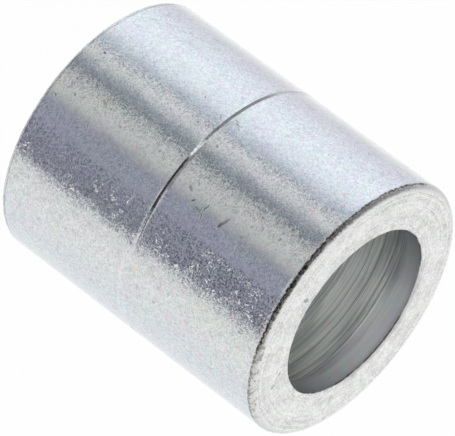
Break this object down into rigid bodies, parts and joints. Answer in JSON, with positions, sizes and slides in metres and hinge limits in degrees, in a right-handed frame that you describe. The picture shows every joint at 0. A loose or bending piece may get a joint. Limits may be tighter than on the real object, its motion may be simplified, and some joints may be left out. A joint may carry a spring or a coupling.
{
  "type": "crimp hose ferrule",
  "caption": "Turned steel sleeve with an inward collar and a ringed bore, pressed round a hose end to hold it on a hydraulic fitting.",
  "frame": {"origin": "centre of the hose end face, at the bottom, where the ferrule stands", "axes": "+Z along the ferrule's axis, from the hose end to the collar end; X and Y are any two radial directions"},
  "size_m": [0.027, 0.027, 0.032],
  "materials": {
    "zinc_plated_steel": "bright zinc plate over turned steel, lightly mottled, with fine scratches and small pits"
  },
  "bodies": {
    "root": {"ferrule_body": "zinc_plated_steel"}
  },
  "joints": []
}
